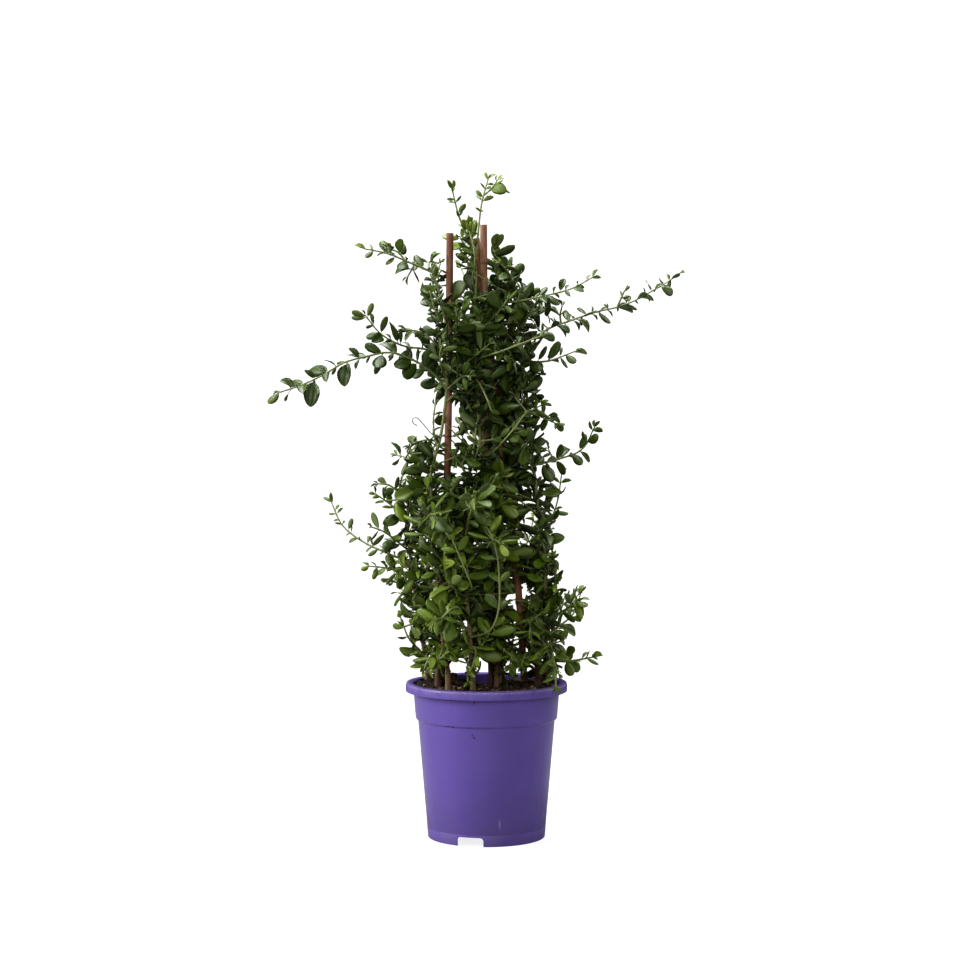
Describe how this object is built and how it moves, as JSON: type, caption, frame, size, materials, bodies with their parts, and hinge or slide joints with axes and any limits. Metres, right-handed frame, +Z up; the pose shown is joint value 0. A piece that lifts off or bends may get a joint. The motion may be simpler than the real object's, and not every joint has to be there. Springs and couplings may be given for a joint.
{
  "type": "potted climbing shrub",
  "caption": "Young evergreen shrub with small oval leaves on arching stems, trained up thin canes in a round tapered plastic nursery pot.",
  "frame": {"origin": "on the pot's axis, in the plane that its foot ring stands on", "axes": "+Z up along the pot's axis; -Y towards the plant's front, the side the picture shows; +X to the viewer's right"},
  "size_m": [0.4405, 0.2895, 0.7001],
  "materials": {
    "pot_plastic": "satin purple moulded polypropylene",
    "soil": "damp dark potting compost with bark chips",
    "cane": "reddish-brown stained bamboo, matt",
    "tie_wire": "thin dull wire",
    "foliage": "glossy dark green leaves on yellow-green stems"
  },
  "bodies": {
    "root": {"pot": "pot_plastic", "soil": "soil", "cane_left": "cane", "cane_centre": "cane", "cane_right": "cane", "wire_tie": "tie_wire", "leafy_stem_left": "foliage", "leafy_stem_centre": "foliage", "leafy_stem_right": "foliage", "leafy_stem_back": "foliage", "leafy_stem_front": "foliage", "leafy_stem_low_left": "foliage", "leafy_stem_low_right": "foliage"}
  },
  "joints": []
}
